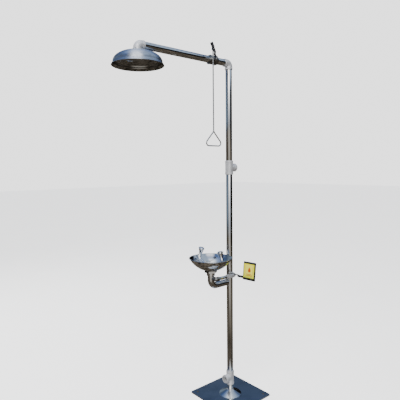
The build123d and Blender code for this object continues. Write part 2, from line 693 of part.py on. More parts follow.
def spray_head(tube_r, tube_bore):
    low = -spray_head_overlap
    top = low + spray_head_height
    grip = spray_head_r
    neck = spray_head_neck_r
    flare = spray_head_height * spray_flare_share
    lip_low = top - spray_head_land
    face = top - spray_face_inset
    chamber_top = face - spray_face_thick
    chamber_low = chamber_top - spray_chamber
    chamber_r = grip - spray_lip_wall - spray_head_edge
    body = spun([
        (0, low), (neck, low), (neck, low + flare),
        (grip - 2 * spray_head_edge, lip_low - 2 * spray_head_edge),
        (grip, lip_low), (grip, top - spray_head_edge), (grip - spray_head_edge, top),
        (grip - spray_lip_wall, top), (grip - spray_lip_wall, face), (0, face)])
    body -= rod((0, 0, low), (0, 0, 0), tube_r + socket_gap)
    body -= rod((0, 0, 0), (0, 0, chamber_top), tube_bore)
    body -= rod((0, 0, chamber_low), (0, 0, chamber_top), chamber_r)
    hole = rod((0, 0, chamber_low), (0, 0, top), spray_hole_r)
    body -= hole
    for ring_r, count in spray_rings:
        body -= PolarLocations(ring_r, count) * hole

    x, z = hinge_x(), hinge_z()
    cap_space = rod((0, 0, top - spray_head_edge), (0, 0, top + cap_thick), grip + free_gap)
    knuckle = cap_knuckle_length / 2
    for y in (knuckle + free_gap, -knuckle - free_gap - cap_lug_length):
        lug = rod((x, y, z), (x, y + cap_lug_length, z), cap_knuckle_r)
        web = Box(x - grip + cap_web_overlap, cap_lug_length, 2 * cap_knuckle_r + cap_web_overlap,
                  align=(Align.MAX, Align.MIN, Align.MAX))
        web = Pos(x, y, z) * web
        body += lug + web - cap_space
    half = knuckle + free_gap + cap_lug_length
    body -= rod((x, -half, z), (x, half, z), cap_pin_r)
    pin = rod((x, -half, z), (x, half, z), cap_pin_r)

    seat = top + free_gap
    cap = spun([
        (0, seat), (grip, seat), (grip, seat + cap_thick - cap_edge_low),
        (grip - cap_edge_run, seat + cap_thick - cap_edge_high), (0, seat + cap_thick)])
    cap += rod((x, -knuckle, z), (x, knuckle, z), cap_knuckle_r)
    cap += Pos(x, 0, seat) * Box(x - grip + cap_tongue_overlap, cap_knuckle_length, cap_knuckle_r,
                                 align=(Align.MAX, Align.CENTER, Align.MIN))
    cap -= rod((x, -half, z), (x, half, z), cap_pin_r + running_gap)
    return body, cap, pin


# ---------------------------------------------------------------- shower lever and pull rod
def make_shower_lever():
    """Local frame: origin at the valve's centre, X along the stem, Z up the closed lever."""
    where = Pos(0, shower_valve_y, arm_z) * Rot(shower_lever_lean, 0, 0)
    low = shower_valve.lever_low
    jog = shower_lever_jog
    half_width = shower_lever_width / 2
    thick = shower_lever_thick
    side = make_face(Plane.XZ * Polyline(
        (low, -half_width), (low, shower_jog_start), (low + jog, shower_jog_end),
        (low + jog, shower_lever_length), (low + jog + thick, shower_lever_length),
        (low + jog + thick, shower_jog_end - shower_jog_skew),
        (low + thick, shower_jog_start - shower_jog_skew),
        (low + thick, -half_width), close=True))
    strip = extrude(side, amount=half_width, both=True)
    straight = shower_lever_length - half_width
    face_outline = rod((low, 0, 0), (low + jog + thick, 0, 0), half_width)
    face_outline += Pos(low, 0, 0) * Box(jog + thick, shower_lever_width, straight,
                                         align=(Align.MIN, Align.CENTER, Align.MIN))
    face_outline += rod((low, 0, straight), (low + jog + thick, 0, straight), half_width)
    strip = strip & face_outline
    strip -= rod((low, 0, 0), (low + thick, 0, 0), shower_valve.stem_r)
    pin_z = pull_pin_distance
    strip -= rod((low, 0, pin_z), (low + jog + thick, 0, pin_z), pull_pin_r)
    nodes["shower_lever"] = where * strip

    sleeve_low = shower_lever_length - shower_sleeve_length
    wall = shower_sleeve_wall
    sleeve = Pos(low + jog + thick / 2, 0, sleeve_low) * Box(
        thick + 2 * wall, shower_lever_width + 2 * wall, shower_sleeve_length + wall, align=BASE)
    sleeve = fillet(sleeve.edges().filter_by(Axis.Z), wall)
    sleeve = fillet(sleeve.faces().sort_by(Axis.Z)[-1].edges(), shower_sleeve_round)
    nodes["shower_lever_sleeve"] = where * (sleeve - strip)

    # the rod's eye sits on the pin, on the pipe's side of the lever
    eye_top = low + jog - pull_spacer
    eye_low = eye_top - 2 * pull_rod_r
    head = pull_pin_head
    pin = rod((eye_low - free_gap, 0, pin_z), (low + jog + thick, 0, pin_z), pull_pin_r)
    pin += rod((eye_top + free_gap, 0, pin_z), (low + jog, 0, pin_z), pull_pin_r + head)
    for start in (eye_low - free_gap - head, low + jog + thick):
        pin += rounded_rod((start, 0, pin_z), (start + head, 0, pin_z), pull_pin_r + head, pin_round)
    nodes["pull_rod_pin"] = where * pin

    # the rod hangs upright from the pin, whatever the lever's lean
    pin_point = (where * Pos((eye_low + eye_top) / 2, 0, pin_z)).position
    x, y, z = pin_point.X, pin_point.Y, pin_point.Z
    pin_hole = rod((x - pull_rod_r, y, z), (x + pull_rod_r, y, z), pull_pin_r + running_gap)
    hang = rod((x - pull_rod_r, y, z), (x + pull_rod_r, y, z), pull_eye_r)
    hang += rod((x, y, z), (x, y, handle_apex_z), pull_rod_r)
    nodes["pull_rod"] = hang - pin_hole

    apex_z = handle_apex_z - pull_rod_r
    low_z = handle_bottom_z + pull_rod_r
    corners = [(x, y - handle_half_width, low_z), (x, y + handle_half_width, low_z)]
    middle = (x, y, low_z)
    loop = Pos(x, y, apex_z - handle_weld_drop) * Sphere(handle_weld_r)
    for corner in corners:
        loop += swept([(x, y, apex_z - handle_bend_drop), corner, middle], handle_corner_r, pull_rod_r)
    nodes["pull_handle"] = loop - hang


# ---------------------------------------------------------------- push lever and sign
def make_push_lever():
    """Local frame: origin on the stem's axis, X along the closed lever, -Y towards the user."""
    where = Pos(supply_x, eyewash_valve_y, 0) * Rot(0, 0, push_lever_turn)
    low = supply_z + eyewash_valve.lever_low
    top = low + push_lever_thick
    half_width = push_lever_width / 2
    strap = rod((0, 0, low), (0, 0, top), half_width)
    strap += Pos(0, 0, low) * Box(push_bar_start + push_riser_width, push_lever_width, push_lever_thick,
                                  align=(Align.MIN, Align.CENTER, Align.MIN))
    strap -= rod((0, 0, low), (0, 0, top), eyewash_valve.stem_r)
    tilt = Pos(0, 0, push_bar_z) * Rot(-push_lean, 0, 0)
    bar = Box(push_bar_end - push_bar_start, push_bar_thick, push_bar_height,
              align=(Align.MIN, Align.CENTER, Align.CENTER))
    bar = tilt * Pos(push_bar_start, 0, 0) * bar
    riser = Pos(push_bar_start, 0, push_bar_z) * Box(
        push_riser_width, push_bar_thick, low - push_bar_z + push_riser_overlap,
        align=(Align.MIN, Align.CENTER, Align.MIN))
    lever = strap + riser + bar

    sleeve = Box(sign_start - push_sleeve_start - push_sleeve_gap, push_bar_thick + 2 * push_sleeve_wall,
                 push_bar_height + 2 * push_sleeve_wall, align=(Align.MIN, Align.CENTER, Align.CENTER))
    sleeve = fillet(sleeve.edges().filter_by(Axis.X), push_sleeve_wall)
    sleeve -= Box(push_bar_end, push_bar_thick, push_bar_height,
                  align=(Align.CENTER, Align.CENTER, Align.CENTER))
    nodes["push_lever_sleeve"] = where * tilt * Pos(push_sleeve_start, 0, 0) * sleeve

    sign = Box(sign_width, sign_thick, sign_height, align=(Align.MIN, Align.MAX, Align.MIN))
    sign = fillet(sign.edges().filter_by(Axis.Y), sign_corner)
    sign = Pos(sign_start, -push_bar_thick / 2, -push_bar_height / 2 - sign_below_bar) * sign
    rivets = []
    for x in (sign_start + sign_rivet_inset, sign_start + sign_width - sign_rivet_bar_inset):
        front = -push_bar_thick / 2 - sign_thick
        back = push_bar_thick / 2
        sign -= rod((x, front, 0), (x, back, 0), sign_rivet_r)
        lever -= tilt * rod((x, front, 0), (x, back, 0), sign_rivet_r)
        rivet = rod((x, front, 0), (x, back, 0), sign_rivet_r)
        for start in (front - sign_rivet_head, back):
            rivet += rounded_rod((x, start, 0), (x, start + sign_rivet_head, 0), sign_rivet_head_r, pin_round)
        rivets.append(where * tilt * rivet)
    nodes["push_lever"] = where * lever
    nodes["push_sign"] = where * tilt * sign
    nodes["push_sign_rivets"] = Compound(children=rivets)


if __name__ == "__main__":
    make_base()
    make_column()
    make_arm()
    make_head()
    make_drain()
    make_supply()
    make_bowl()
    make_nozzles()
    make_shower_lever()
    make_push_lever()
    for name, shape in nodes.items():
        export_step(shape, "parts/" + name + ".step")
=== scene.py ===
import json
import math

import bmesh
import bpy
from bpy.props import FloatProperty, FloatVectorProperty, IntProperty, PointerProperty
from mathutils import Matrix, Vector


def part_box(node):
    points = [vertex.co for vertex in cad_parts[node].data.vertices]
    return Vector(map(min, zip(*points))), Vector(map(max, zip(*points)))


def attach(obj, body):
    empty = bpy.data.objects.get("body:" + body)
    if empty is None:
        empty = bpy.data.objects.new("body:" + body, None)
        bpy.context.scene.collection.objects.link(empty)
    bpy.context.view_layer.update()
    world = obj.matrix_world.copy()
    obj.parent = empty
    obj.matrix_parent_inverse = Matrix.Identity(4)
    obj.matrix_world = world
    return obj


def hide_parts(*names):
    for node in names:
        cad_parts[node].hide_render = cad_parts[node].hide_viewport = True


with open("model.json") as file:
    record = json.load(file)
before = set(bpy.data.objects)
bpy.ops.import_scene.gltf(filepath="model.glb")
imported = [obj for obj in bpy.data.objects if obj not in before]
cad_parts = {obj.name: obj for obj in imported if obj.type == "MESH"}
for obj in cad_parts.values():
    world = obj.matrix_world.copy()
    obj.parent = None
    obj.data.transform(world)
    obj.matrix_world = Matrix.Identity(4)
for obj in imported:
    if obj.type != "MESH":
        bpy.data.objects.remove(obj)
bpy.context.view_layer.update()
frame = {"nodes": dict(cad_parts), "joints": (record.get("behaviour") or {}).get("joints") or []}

bl_info = {
    "name": "Emergency Shower Finisher",
    "version": (1, 0, 0),
    "blender": (4, 5, 0),
    "location": "View3D > Sidebar > Shower",
    "description": "Finishes a pipe-column emergency shower with an eyewash bowl",
    "category": "Object",
}

NODES = frame["nodes"]
STAND = "stand"
ROD_HANG = "pull_rod_hang"
PUSH_ARM = "push_lever_arm"
FINISHED = set()

X_AXIS = Vector((1, 0, 0))
Y_AXIS = Vector((0, 1, 0))
Z_AXIS = Vector((0, 0, 1))

ON_AXIS = 1e-7          # a smaller radius is a point on the axis
STRAIGHT = 1e-4         # a smaller turn is no corner
CORNER_SHARE = 0.49     # the most of an edge that one rounded corner may take
FINE_STEPS = 160        # sides of the spun sheets, which are large
PIN_STEPS = 32          # sides of pins, rods and hinge knuckles
SLIP = 0.0001           # what a spun hole is wider than its pipe


# ------------------------------------------------------------------ settings
class FinishSettings(bpy.types.PropertyGroup):
    """Colours and gloss of the metal, plastic and printed finishes."""

    steel_colour: FloatVectorProperty(
        name="Polished Steel", description="Colour of the polished pipes and sheet",
        subtype="COLOR", size=3, min=0, max=1, default=(0.70, 0.70, 0.69))
    steel_gloss: FloatProperty(
        name="Pipe Roughness", description="Roughness of the polished pipes",
        min=0, max=1, default=0.13, subtype="FACTOR")
    cast_colour: FloatVectorProperty(
        name="Cast Steel", description="Colour of the cast and blasted fittings",
        subtype="COLOR", size=3, min=0, max=1, default=(0.76, 0.76, 0.77))
    cast_gloss: FloatProperty(
        name="Cast Roughness", description="Roughness of the blasted castings",
        min=0, max=1, default=0.42, subtype="FACTOR")
    grip_colour: FloatVectorProperty(
        name="Grip", description="Colour of the dipped lever grips",
        subtype="COLOR", size=3, min=0, max=1, default=(0.012, 0.012, 0.014))
    sign_colour: FloatVectorProperty(
        name="Sign Field", description="Main colour of the push sign",
        subtype="COLOR", size=3, min=0, max=1, default=(0.74, 0.68, 0.03))
    sign_mark_colour: FloatVectorProperty(
        name="Sign Mark", description="Colour of the pictogram on the push sign",
        subtype="COLOR", size=3, min=0, max=1, default=(0.48, 0.075, 0.003))


class DetailSettings(bpy.types.PropertyGroup):
    """Sizes of the details that are worked up in mesh."""

    round_steps: IntProperty(
        name="Round Steps", description="Sides of each turned or swept surface",
        min=24, max=192, default=96)
    drain_bend_radius: FloatProperty(
        name="Drain Bend", description="Centre-line radius of the drain's bend",
        unit="LENGTH", min=0.03, default=0.068)
    rim_bead: FloatProperty(
        name="Rim Bead", description="Radius of the rolled edge of the bowl and the shower head",
        unit="LENGTH", min=0.0005, default=0.0021)
    weld_size: FloatProperty(
        name="Weld Size", description="Radius of the weld beads",
        unit="LENGTH", min=0.001, default=0.0028)
    sheet: FloatProperty(
        name="Sheet Thickness", description="Thickness of the spun sheet",
        unit="LENGTH", min=0.0005, default=0.0012)
    nozzle_lean_run: FloatProperty(
        name="Nozzle Lean", description="How far each eyewash nozzle leans in for each unit of height",
        min=0, max=1, default=17.0 / 48.0)
    pipe_wall: FloatProperty(
        name="Pipe Wall", description="Wall of the main pipe",
        unit="LENGTH", min=0.0005, default=0.0026)


class StageSettings(bpy.types.PropertyGroup):
    """Camera and lights."""

    camera_place: FloatVectorProperty(
        name="Camera Place", description="Where the camera stands",
        subtype="XYZ", unit="LENGTH", size=3, default=(1.977, -1.931, 1.568))
    camera_turn: FloatProperty(
        name="Camera Turn", description="Turn about the vertical, 0 looks along +Y",
        unit="ROTATION", default=math.radians(49.74))
    camera_tilt: FloatProperty(
        name="Camera Tilt", description="Tilt above the level",
        unit="ROTATION", default=math.radians(-4.47))
    camera_roll: FloatProperty(
        name="Camera Roll", description="Roll about the line of sight",
        unit="ROTATION", default=math.radians(-0.605))
    lens: FloatProperty(
        name="Lens", description="Focal length in millimetres", min=10, default=37.19)
    floor_size: FloatProperty(
        name="Floor Size", description="Side of the floor", unit="LENGTH", min=1, default=60.0)
    light_power: FloatProperty(
        name="Light Power", description="Power of the main soft light in watts", min=0, default=260.0)


# ------------------------------------------------------------------ mesh tools
def frame_for(axis):
    """Two directions square to an axis."""
    axis = axis.normalized()
    other = X_AXIS if abs(axis.x) < 0.9 else Y_AXIS
    side = axis.cross(other).normalized()
    return side, axis.cross(side).normalized()


def add_rings(bm, rings, closed=False):
    """Joins rings of points with faces; a ring of one point closes the surface."""
    made = [[bm.verts.new(p) for p in ring] for ring in rings]
    pairs = list(zip(made, made[1:]))
    if closed:
        pairs.append((made[-1], made[0]))
    for low, high in pairs:
        count = max(len(low), len(high))
        for i in range(count):
            j = (i + 1) % count
            if len(low) == 1:
                bm.faces.new((low[0], high[j], high[i]))
            elif len(high) == 1:
                bm.faces.new((low[i], low[j], high[0]))
            else:
                bm.faces.new((low[i], low[j], high[j], high[i]))


def full_turn(steps):
    """Angles evenly spaced round a full turn."""
    return [2 * math.pi * i / steps for i in range(steps)]


def turned(bm, profile, origin, axis=Z_AXIS, steps=96, closed=False):
    """A turned surface; each profile point starts with its radius and its height along the axis."""
    side, up = frame_for(axis)
    axis = axis.normalized()
    rings = []
    for point in profile:
        radius, height = point[0], point[1]
        centre = origin + axis * height
        if radius < ON_AXIS:
            rings.append([centre])
        else:
            rings.append([centre + (side * math.cos(angle) + up * math.sin(angle)) * radius
                          for angle in full_turn(steps)])
    add_rings(bm, rings, closed)


def rounded(start, corner, end, radius, steps=6):
    """Points round a corner of an outline."""
    corner = Vector(corner)
    a = Vector(start) - corner
    b = Vector(end) - corner
    turn = math.pi - math.acos(max(-1.0, min(1.0, a.normalized().dot(b.normalized()))))
    if turn < STRAIGHT:
        return [corner]
    slope = math.tan(turn / 2)
    reach = min(radius * slope, a.length * CORNER_SHARE, b.length * CORNER_SHARE)
    size = reach / slope
    towards = a.normalized()
    inward = (b.normalized() - towards * towards.dot(b.normalized())).normalized()
    first = corner + towards * reach
    points = []
    for i in range(steps + 1):
        t = turn * i / steps
        points.append(first - towards * (size * math.sin(t)) + inward * (size * (1 - math.cos(t))))
    return points


def softened(outline, radius, closed=True, steps=4):
    """An outline, or an open path, with every corner rounded over."""
    points = []
    count = len(outline)
    for i, corner in enumerate(outline):
        if not closed and i in (0, count - 1):
            points.append(Vector(corner))
            continue
        points += rounded(outline[i - 1], corner, outline[(i + 1) % count], radius, steps)
    return points


def sections(path, outline, closed=False, up=None):
    """Copies of a section of 2-D points, set square along a path without twisting."""
    count = len(path)
    tangents = []
    for i in range(count):
        before = path[i - 1] if (closed or i) else path[0]
        after = path[(i + 1) % count] if (closed or i < count - 1) else path[-1]
        tangents.append((after - before).normalized())
    side = up.cross(tangents[0]).normalized() if up else frame_for(tangents[0])[0]
    rings = []
    for point, tangent in zip(path, tangents):
        side = (side - tangent * side.dot(tangent)).normalized()
        other = tangent.cross(side)
        rings.append([point + (side * p[0] + other * p[1]) for p in outline])
    return rings


def circle(radius, steps):
    return [(radius * math.cos(angle), radius * math.sin(angle)) for angle in full_turn(steps)]


def smooth_profile(points, passes):
    """Rounds a (radius, height) profile off by cutting its corners."""
    for _ in range(passes):
        eased = [points[0]]
        for a, b in zip(points, points[1:]):
            eased.append((a[0] * 0.75 + b[0] * 0.25, a[1] * 0.75 + b[1] * 0.25))
            eased.append((a[0] * 0.25 + b[0] * 0.75, a[1] * 0.25 + b[1] * 0.75))
        eased.append(points[-1])
        points = eased
    return points


def block(bm, centre, along, across, up, size):
    """A small block squared to three directions, its edges eased by a share of its least side."""
    ease = 0.15
    place = Matrix((along, across, up)).transposed().to_4x4()
    place.translation = centre
    made = bmesh.ops.create_cube(bm, size=1.0, matrix=place @ Matrix.Diagonal((*size, 1.0)))
    edges = list(dict.fromkeys(e for v in made["verts"] for e in v.link_edges))
    bmesh.ops.bevel(bm, geom=edges, offset=min(size) * ease, segments=2, affect="EDGES", profile=0.5)


def extruded(bm, outline, depth, place, bevel=0.0):
    """A flat outline in X and Z, thickened along Y from 0 to depth, put in place by a matrix."""
    front = [bm.verts.new(place @ Vector((x, 0, z))) for x, z in outline]
    back = [bm.verts.new(place @ Vector((x, depth, z))) for x, z in outline]
    count = len(outline)
    ends = [bm.faces.new(front), bm.faces.new(list(reversed(back)))]
    for i in range(count):
        j = (i + 1) % count
        bm.faces.new((front[j], front[i], back[i], back[j]))
    if bevel:
        edges = [e for f in ends for e in f.edges]
        bmesh.ops.bevel(bm, geom=edges, offset=bevel, segments=2, affect="EDGES", profile=0.5)


def shade(mesh, angle=35.0):
    for face in mesh.polygons:
        face.use_smooth = True
    mesh.set_sharp_from_angle(angle=math.radians(angle))


def piece(name, bm, material, body, nodes=()):
    """Turns a bmesh into a piece that rides on a body and stands for CAD nodes."""
    bmesh.ops.recalc_face_normals(bm, faces=bm.faces[:])
    mesh = bpy.data.meshes.new(name)
    bm.to_mesh(mesh)
    bm.free()
    shade(mesh)
    mesh.materials.append(material)
    made = bpy.data.objects.new(name, mesh)
    bpy.context.scene.collection.objects.link(made)
    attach(made, body)
    if nodes:
        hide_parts(*nodes)
        FINISHED.update(nodes)
    return made


def carry(node, material, bevel=0.0):
    """Finishes a CAD node in place: smooth shading, a material and a fine edge."""
    made = NODES[node]
    shade(made.data, 30.0)
    made.data.materials.clear()
    made.data.materials.append(material)
    if bevel:
        edge = made.modifiers.new("fine_edge", "BEVEL")
        edge.width = bevel
        edge.segments = 2
        edge.limit_method = "ANGLE"
        edge.angle_limit = math.radians(40)
        edge.harden_normals = True
    FINISHED.add(node)


def corners(node):
    """The low and high corners of a CAD node's box."""
    return (Vector(corner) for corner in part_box(node))


def middle(node):
    """The middle and the size of a CAD node's box."""
    low, high = corners(node)
    return (low + high) / 2, high - low


def width(node):
    return middle(node)[1].x


def joint_place(name):
    return Vector(next(joint for joint in frame["joints"] if joint["name"] == name)["pos_m"])


# ------------------------------------------------------------------ materials
class Bench:
    """Adds nodes to a tree and joins them up."""

    def __init__(self, tree, coordinates):
        self.tree = tree
        self.place = tree.nodes.new("ShaderNodeTexCoord").outputs[coordinates]

    def feed(self, socket, value):
        if isinstance(value, bpy.types.NodeSocket):
            self.tree.links.new(value, socket)
        else:
            socket.default_value = value

    def node(self, kind, **inputs):
        """A new node; its inputs are named with _ for each space."""
        made = self.tree.nodes.new(kind)
        for key, value in inputs.items():
            self.feed(made.inputs[key.replace("_", " ")], value)
        return made

    def maths(self, kind, *values, sort="ShaderNodeMath", output=0):
        made = self.tree.nodes.new(sort)
        made.operation = kind
        for socket, value in zip(made.inputs, values):
            self.feed(socket, value)
        return made.outputs[output]

    def noise(self, scale, detail=4.0, stretch=None, rough=0.5):
        where = self.place
        if stretch:
            where = self.node("ShaderNodeMapping", Vector=where, Scale=stretch).outputs["Vector"]
        return self.node("ShaderNodeTexNoise", Vector=where, Scale=scale, Detail=detail,
                         Roughness=rough).outputs["Fac"]

    def ramp(self, fac, stops):
        made = self.node("ShaderNodeValToRGB", Fac=fac)
        elements = made.color_ramp.elements
        while len(elements) < len(stops):
            elements.new(0.5)
        for element, (place, colour) in zip(elements, stops):
            element.position = place
            element.color = (*colour, 1.0)
        return made.outputs["Color"]

    def spread(self, fac, low, high, start=0.3, stop=0.7):
        """Moves a pattern's start to stop onto low to high."""
        return self.node("ShaderNodeMapRange", Value=fac, From_Min=start, From_Max=stop,
                         To_Min=low, To_Max=high).outputs["Result"]


class Finish(Bench):
    """A node material built step by step."""

    def __init__(self, name):
        self.material = bpy.data.materials.new(name)
        self.material.use_nodes = True
        super().__init__(self.material.node_tree, "Object")
        self.shader = self.tree.nodes["Principled BSDF"]

    def set(self, **inputs):
        for key, value in inputs.items():
            self.feed(self.shader.inputs[key.replace("_", " ")], value)

    def bump(self, *layers):
        """Stacks bumps given as (height, strength, distance)."""
        target = self.shader.inputs["Normal"]
        for height, strength, distance in reversed(layers):
            made = self.node("ShaderNodeBump", Height=height, Strength=strength, Distance=distance)
            self.feed(target, made.outputs["Normal"])
            target = made.inputs["Normal"]


def shaded(colour, share):
    return tuple(c * share for c in colour)


def polished_steel(name, colour, gloss, lines, line_bump=0.035, stain=0.10, brushed=0.0):
    """Polished stainless steel with polishing lines, faint stains and handling smears."""
    f = Finish(name)
    cloud = f.noise(7.0, 5.0)
    smear = f.noise(26.0, 6.0, rough=0.6)
    grain = f.noise(1.0, 3.0, stretch=lines)
    dark = shaded(colour, 1 - stain)
    f.set(Base_Color=f.ramp(cloud, [(0.30, dark), (0.52, colour), (0.78, shaded(colour, 1.05))]),
          Metallic=1.0,
          Anisotropic=brushed,
          Anisotropic_Rotation=0.25,
          Roughness=f.spread(smear, gloss * 0.72, gloss * 1.5))
    f.bump((grain, line_bump, 0.0004), (smear, 0.02, 0.0006))
    return f.material


def cast_steel(name, colour, gloss):
    """Blasted cast stainless steel with a fine grain."""
    f = Finish(name)
    grain = f.noise(1500.0, 3.0)
    lumps = f.noise(160.0, 4.0)
    cloud = f.noise(24.0, 4.0)
    f.set(Base_Color=f.ramp(cloud, [(0.28, shaded(colour, 0.84)), (0.55, colour),
                                    (0.8, shaded(colour, 1.08))]),
          Metallic=0.6,
          Roughness=f.spread(lumps, gloss * 0.85, gloss * 1.25))
    f.bump((grain, 0.22, 0.0004), (lumps, 0.16, 0.0010))
    return f.material


def chrome(name, colour):
    """Bright plate with dried water spots."""
    f = Finish(name)
    spots = f.node("ShaderNodeTexVoronoi", Vector=f.place, Scale=260.0).outputs["Distance"]
    smear = f.noise(60.0, 4.0)
    f.set(Base_Color=f.ramp(smear, [(0.3, shaded(colour, 0.9)), (0.7, colour)]),
          Metallic=1.0,
          Roughness=f.spread(spots, 0.16, 0.07, 0.05, 0.35))
    f.bump((smear, 0.03, 0.0006))
    return f.material


def grip(name, colour):
    """Dipped vinyl: soft sheen, fine pebble and dust in the hollows."""
    f = Finish(name)
    pebble = f.noise(2600.0, 2.0)
    dust = f.noise(90.0, 5.0)
    f.set(Base_Color=f.ramp(dust, [(0.35, colour), (0.75, tuple(c + 0.03 for c in colour))]),
          Roughness=f.spread(dust, 0.38, 0.62))
    f.bump((pebble, 0.25, 0.0003))
    return f.material


def plain_plastic(name, colour, gloss):
    """Moulded plastic or rubber with a faint flow pattern."""
    f = Finish(name)
    flow = f.noise(120.0, 5.0)
    f.set(Base_Color=f.ramp(flow, [(0.3, shaded(colour, 0.88)), (0.7, colour)]),
          Roughness=f.spread(flow, gloss * 0.85, gloss * 1.15))
    f.bump((flow, 0.1, 0.0004))
    return f.material


def print_ink(name, low_colour, high_colour, low, high, gloss=0.35):
    """Printed film that is darker towards the bottom of its height, faded by weather and lightly scuffed."""
    f = Finish(name)
    height = f.node("ShaderNodeSeparateXYZ", Vector=f.place).outputs["Z"]
    fade = f.noise(45.0, 5.0)
    wander = f.maths("MULTIPLY_ADD", fade, 0.35, f.spread(height, 0.0, 1.0, low, high))
    f.set(Base_Color=f.ramp(wander, [(0.15, low_colour), (0.55, high_colour), (1.0, high_colour)]),
          Roughness=f.spread(fade, gloss * 0.8, gloss * 1.4))
    f.bump((f.noise(900.0, 3.0), 0.06, 0.0002))
    return f.material


MATERIALS = {}


def make_materials(context):
    finish = context.scene.finish_settings
    steel = tuple(finish.steel_colour)
    gloss = finish.steel_gloss
    rings_up = (30.0, 30.0, 2600.0)
    rings_along = (30.0, 2600.0, 30.0)
    spun = (60.0, 60.0, 1800.0)
    all_ways = (700.0, 700.0, 700.0)
    # colour, roughness, density of the polishing lines each way, their depth, stains, brushed sheen
    steels = {
        "pipe_upright": (steel, gloss, rings_up, 0.010),
        "pipe_level": (steel, gloss, rings_along, 0.010),
        "drain": (steel, gloss * 1.1, (500.0, 500.0, 500.0), 0.03),
        "bar": (shaded(steel, 0.95), 0.24, (900.0, 900.0, 60.0), 0.05),
        # painted shade: the steel darkened to 0.4, so the shower valve and the bowl supply elbow look dark
        "steel_painted_dark": (shaded(steel, 0.40), 0.30, all_ways, 0.06),
        # painted reflection: the dome's colour is tinted blue for the sky it reflects
        "dome": ((0.66, 0.69, 0.75), 0.34, spun, 0.012, 0.06, 0.9),
        # painted shade: the inside of the head is a darker copy of the steel, for the shade under the dome
        "dome_inside_painted_shade": (shaded(steel, 0.55), 0.13, spun, 0.01, 0.3),
        # painted shade: the pull rod is the steel darkened to 0.62
        "rod": (shaded(steel, 0.62), 0.30, (700.0, 700.0, 30.0), 0.01),
        "sheet": (steel, 0.10, spun, 0.02, 0.06),
        "plate": (shaded(steel, 0.85), 0.10, (14.0, 900.0, 60.0), 0.02, 0.22),
    }
    # colour, roughness
    plastics = {
        "coated": ((0.014, 0.015, 0.018), 0.3),
        "seat": ((0.85, 0.85, 0.82), 0.4),
        "rubber": ((0.02, 0.02, 0.02), 0.7),
        "label": ((0.60, 0.66, 0.02), 0.35),
    }
    for name, recipe in steels.items():
        MATERIALS[name] = polished_steel(name, *recipe)
    for name, recipe in plastics.items():
        MATERIALS[name] = plain_plastic(name, *recipe)
    MATERIALS["cast"] = cast_steel("cast", tuple(finish.cast_colour), finish.cast_gloss)
    MATERIALS["weld"] = cast_steel("weld", shaded(steel, 0.8), 0.3)
    MATERIALS["chrome"] = chrome("chrome", (0.82, 0.83, 0.85))
    MATERIALS["grip"] = grip("grip", tuple(finish.grip_colour))


# ------------------------------------------------------------------ pieces
AXES = (X_AXIS, Y_AXIS, Z_AXIS)
SHORT_PIPES = {"supply_outlet": 0, "supply_nipple": 1}    # wider than long, so their axis is given


def pipe(node, material, wall):
    """A straight pipe with eased ends, sized and placed by its CAD node."""
    end_round = 0.0006
    centre, size = middle(node)
    lengths = list(size)
    index = SHORT_PIPES.get(node, lengths.index(max(lengths)))
    radius = lengths[0 if index else 1] / 2
    half = lengths[index] / 2
    inner = radius - wall
    outline = softened([(inner, -half, 0), (radius, -half, 0), (radius, half, 0), (inner, half, 0)],
                       end_round, steps=2)
    bm = bmesh.new()
    turned(bm, outline, centre, AXES[index], bpy.context.scene.detail_settings.round_steps, closed=True)
    piece(node + "_tube", bm, material, STAND, (node,))


def weld_bead(name, centre, axis, radius, size):
    """A rippled weld bead round a pipe."""
    steps = 144
    section_steps = 12
    ripples = 46
    ripple_share = 0.16
    waver_share = 0.1
    side, up = frame_for(axis)
    rings = []
    for angle in full_turn(steps):
        point = centre + (side * math.cos(angle) + up * math.sin(angle)) * radius
        out = (point - centre).normalized()
        ripple = ripple_share * abs(math.sin(angle * ripples / 2))
        swell = size * (1 + ripple + waver_share * math.sin(3 * angle))
        rings.append([point + (out * math.cos(t) + axis * math.sin(t)) * swell
                      for t in full_turn(section_steps)])
    bm = bmesh.new()
    add_rings(bm, rings, closed=True)
    piece(name, bm, MATERIALS["weld"], STAND)


def make_base(context):
    """The base plate, and the spun cone that covers the foot of the column."""
    carry("base_plate", MATERIALS["plate"], 0.0006)
    carry("foot_socket", MATERIALS["bar"], 0.0003)
    centre, size = middle("foot_cone")
    base_r = size.x / 2
    top = size.z
    neck_r = width("foot_nipple") / 2 + SLIP
    wall = 0.0015
    lip = 0.002
    soft = 0.0012
    outline = [(base_r, 0, 0), (base_r, wall, 0), (base_r - lip, wall * 1.3, 0),
               (neck_r + 0.010, top * 0.78, 0), (neck_r + wall, top - 0.001, 0),
               (neck_r + wall, top, 0), (neck_r, top, 0),
               (neck_r, top - wall * 2, 0), (neck_r + 0.009, top * 0.70, 0), (base_r - lip - 0.004, 0, 0)]
    bm = bmesh.new()
    turned(bm, softened(outline, soft, steps=3), Vector((0, 0, centre.z - size.z / 2)), Z_AXIS,
           context.scene.detail_settings.round_steps, closed=True)
    piece("foot_cone_spun", bm, MATERIALS["sheet"], STAND, ("foot_cone",))


def make_pipes(context):
    """The straight pipes of the column, the arm and the bowl's supply."""
    wall = context.scene.detail_settings.pipe_wall
    small_wall = 0.0022
    for node in ("foot_nipple", "lower_pipe", "upper_pipe", "head_nipple"):
        pipe(node, MATERIALS["pipe_upright"], wall)
    for node in ("arm_nipple", "arm_pipe"):
        pipe(node, MATERIALS["pipe_level"], wall)
    for node in ("supply_nipple", "supply_pipe", "supply_outlet"):
        pipe(node, MATERIALS["pipe_level"], small_wall)
    carry("column_divider", MATERIALS["bar"])
    carry("bowl_riser", MATERIALS["drain"])


